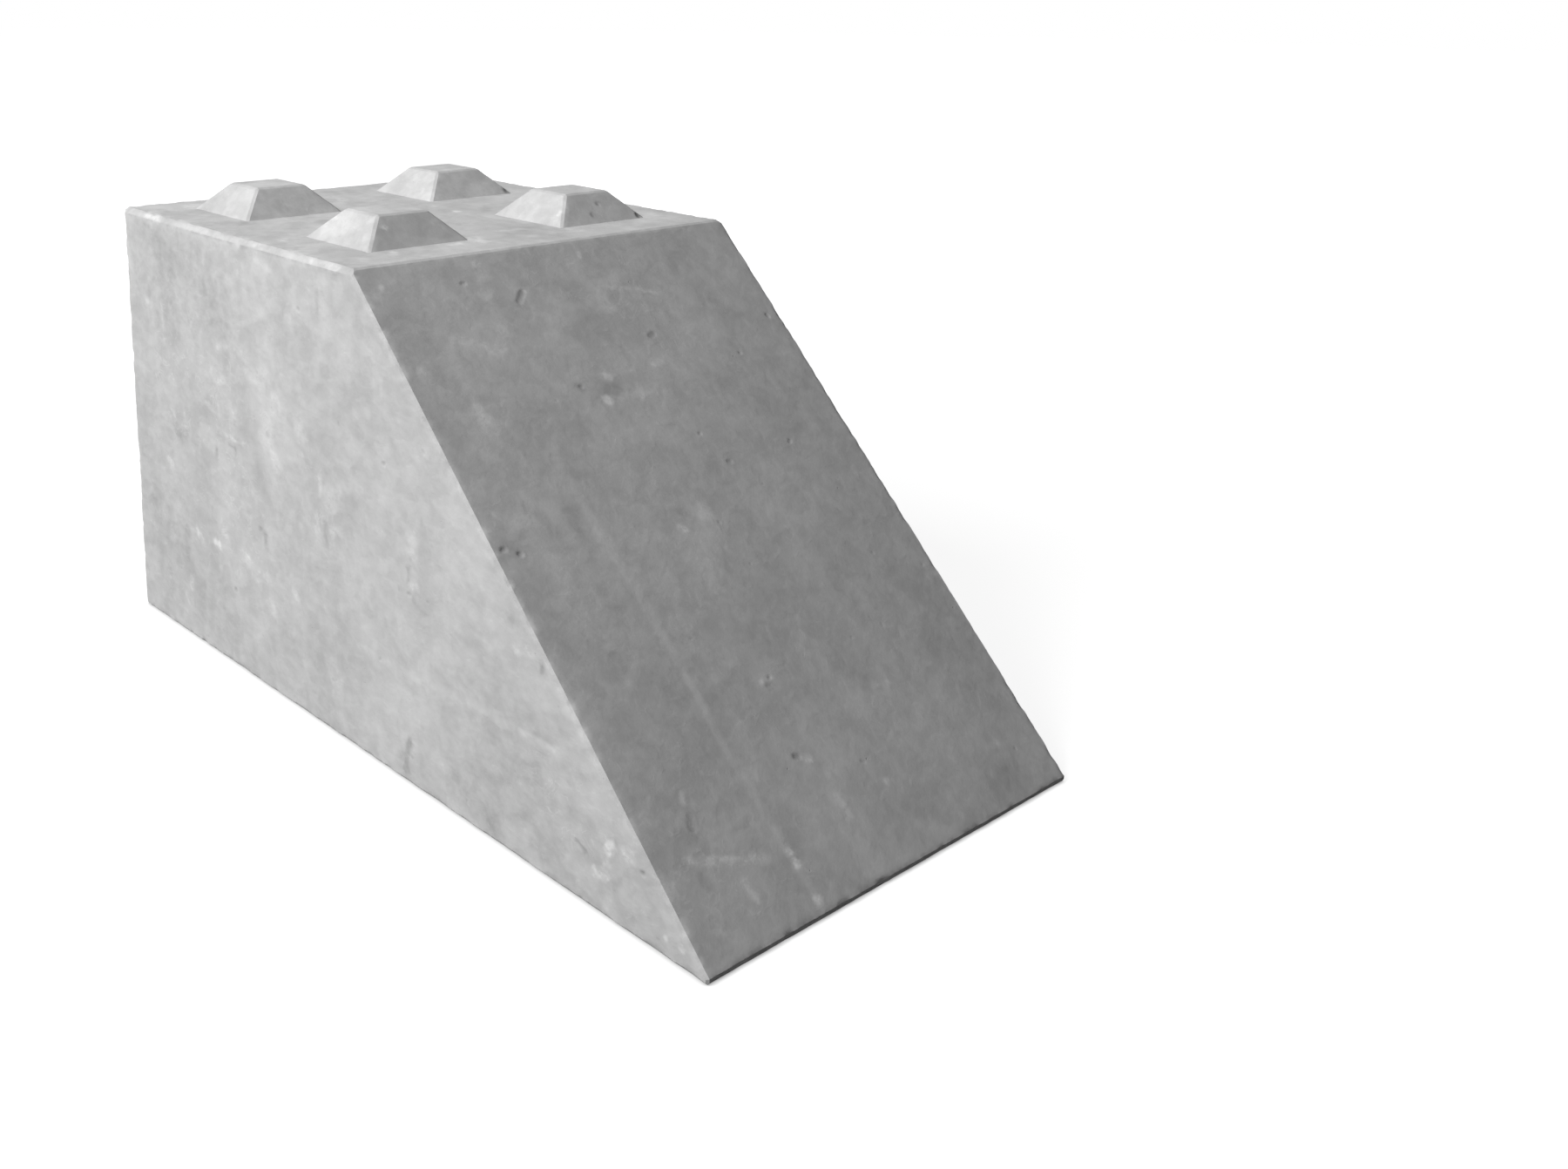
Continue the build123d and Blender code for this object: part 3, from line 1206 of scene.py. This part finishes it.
# The floor's greys, as the camera sees it lit and as it lights the block
SHOWN_GREY = (0.2, 0.2, 0.2, 1.0)
FLOOR_GREY = (0.28, 0.28, 0.28, 1.0)
# Each lamp's name, way from the block, distance and side in metres, and level
LAMPS = [
    ("key", Vector((-0.14, -0.71, 0.68)), 8.0, 2.6, 1.19),
    ("fill", Vector((-0.62, 0.77, 0.12)), 7.0, 4.0, 0.5),
]
# The world's even light
AMBIENT = 0.014


def shows_background(tree):
    """1 for the camera's rays and for those that a glossy or clear surface sends on, else 0."""
    path = node(tree, "LightPath")
    shown = path.outputs["Is Camera Ray"]
    for name in ("Is Glossy Ray", "Is Transmission Ray"):
        shown = calc(tree, "MAXIMUM", shown, path.outputs[name])
    return shown


def studio_floor():
    """A pale floor, which the camera sees as near white with the block's soft shadow and a
    painted contact shadow.
    """
    mesh = bpy.data.meshes.new("studio_floor")
    angles = [math.tau * i / FLOOR_SIDES for i in range(FLOOR_SIDES)]
    rim = [(FLOOR_RADIUS * math.cos(a), FLOOR_RADIUS * math.sin(a), 0.0) for a in angles]
    mesh.from_pydata(rim, [], [list(range(FLOOR_SIDES))])
    material = bpy.data.materials.new("studio_floor")
    tree = empty_tree(material)
    place = node(tree, "TexCoord").outputs["Object"]
    away = node(tree, "VectorMath", {0: place}, operation="LENGTH").outputs["Value"]
    glow = ramp(tree, away, GLOW_START, GLOW_END, FLOOR_GLOW, 1.0)
    # the painted contact shadow: the glow darkens where the block is near
    reach = {"Distance": CONTACT_REACH}
    near = node(tree, "AmbientOcclusion", reach, samples=CONTACT_SAMPLES)
    shade = ramp(tree, near.outputs["AO"], 0.0, CONTACT_OPEN, CONTACT_SHADE, 1.0)
    glow = product(tree, glow, shade)
    shine = node(tree, "Emission", {"Color": WHITE, "Strength": glow})
    soft = node(tree, "BsdfDiffuse", {"Color": SHOWN_GREY})
    plain = node(tree, "BsdfDiffuse", {"Color": FLOOR_GREY})
    lit = node(tree, "AddShader", {0: shine.outputs[0], 1: soft.outputs[0]})
    shown = shows_background(tree)
    both = node(tree, "MixShader", {0: shown, 1: plain.outputs[0], 2: lit.outputs[0]})
    node(tree, "OutputMaterial", {"Surface": both.outputs[0]})
    mesh.materials.append(material)
    added("studio_floor", mesh)


def soft_lamp(name, way, distance, size, level):
    """A square lamp aimed at the block. A white face square to it comes out at the level."""
    lamp = bpy.data.lights.new(name, "AREA")
    lamp.shape = "SQUARE"
    lamp.size = size
    lamp.energy = level * (math.pi * distance) ** 2
    holder = added(name, lamp)
    middle = Vector((0.0, 0.0, TOP_Z / 2))
    holder.location = middle + way.normalized() * distance
    holder.rotation_euler = way.to_track_quat("Z", "Y").to_euler()


def studio_world():
    """White past the block, and a little even light on it."""
    world = bpy.data.worlds.new("studio")
    bpy.context.scene.world = world
    tree = empty_tree(world)
    strength = mixed(tree, shows_background(tree), AMBIENT, 1.0)
    shine = node(tree, "Background", {"Color": WHITE, "Strength": strength})
    node(tree, "OutputWorld", {"Surface": shine.outputs[0]})


# The camera: its place and axes in the frame, fitted to the block's straight edges

CAMERA_PLACE = (2.0109, -1.6412, 1.2477)
CAMERA_RIGHT = (0.65878, 0.75225, 0.01065)
CAMERA_UP = (-0.17755, 0.14170, 0.97386)
SENSOR_WIDTH = 36.0
LENS = 35.910
SHIFT = (0.1111, -0.1606)
FAR_CLIP = 200.0


def photo_camera():
    """The camera that the photograph was taken with."""
    camera = bpy.data.cameras.new("camera")
    camera.sensor_width = SENSOR_WIDTH
    camera.lens = LENS
    camera.shift_x, camera.shift_y = SHIFT
    camera.clip_end = FAR_CLIP
    holder = added("camera", camera)
    right, up = Vector(CAMERA_RIGHT), Vector(CAMERA_UP)
    turn = Matrix((right, up, right.cross(up))).transposed()
    holder.matrix_world = Matrix.Translation(CAMERA_PLACE) @ turn.to_4x4()
    bpy.context.scene.camera = holder


studio_floor()
for lamp in LAMPS:
    soft_lamp(*lamp)
studio_world()
photo_camera()
bpy.context.scene.view_settings.view_transform = "Standard"
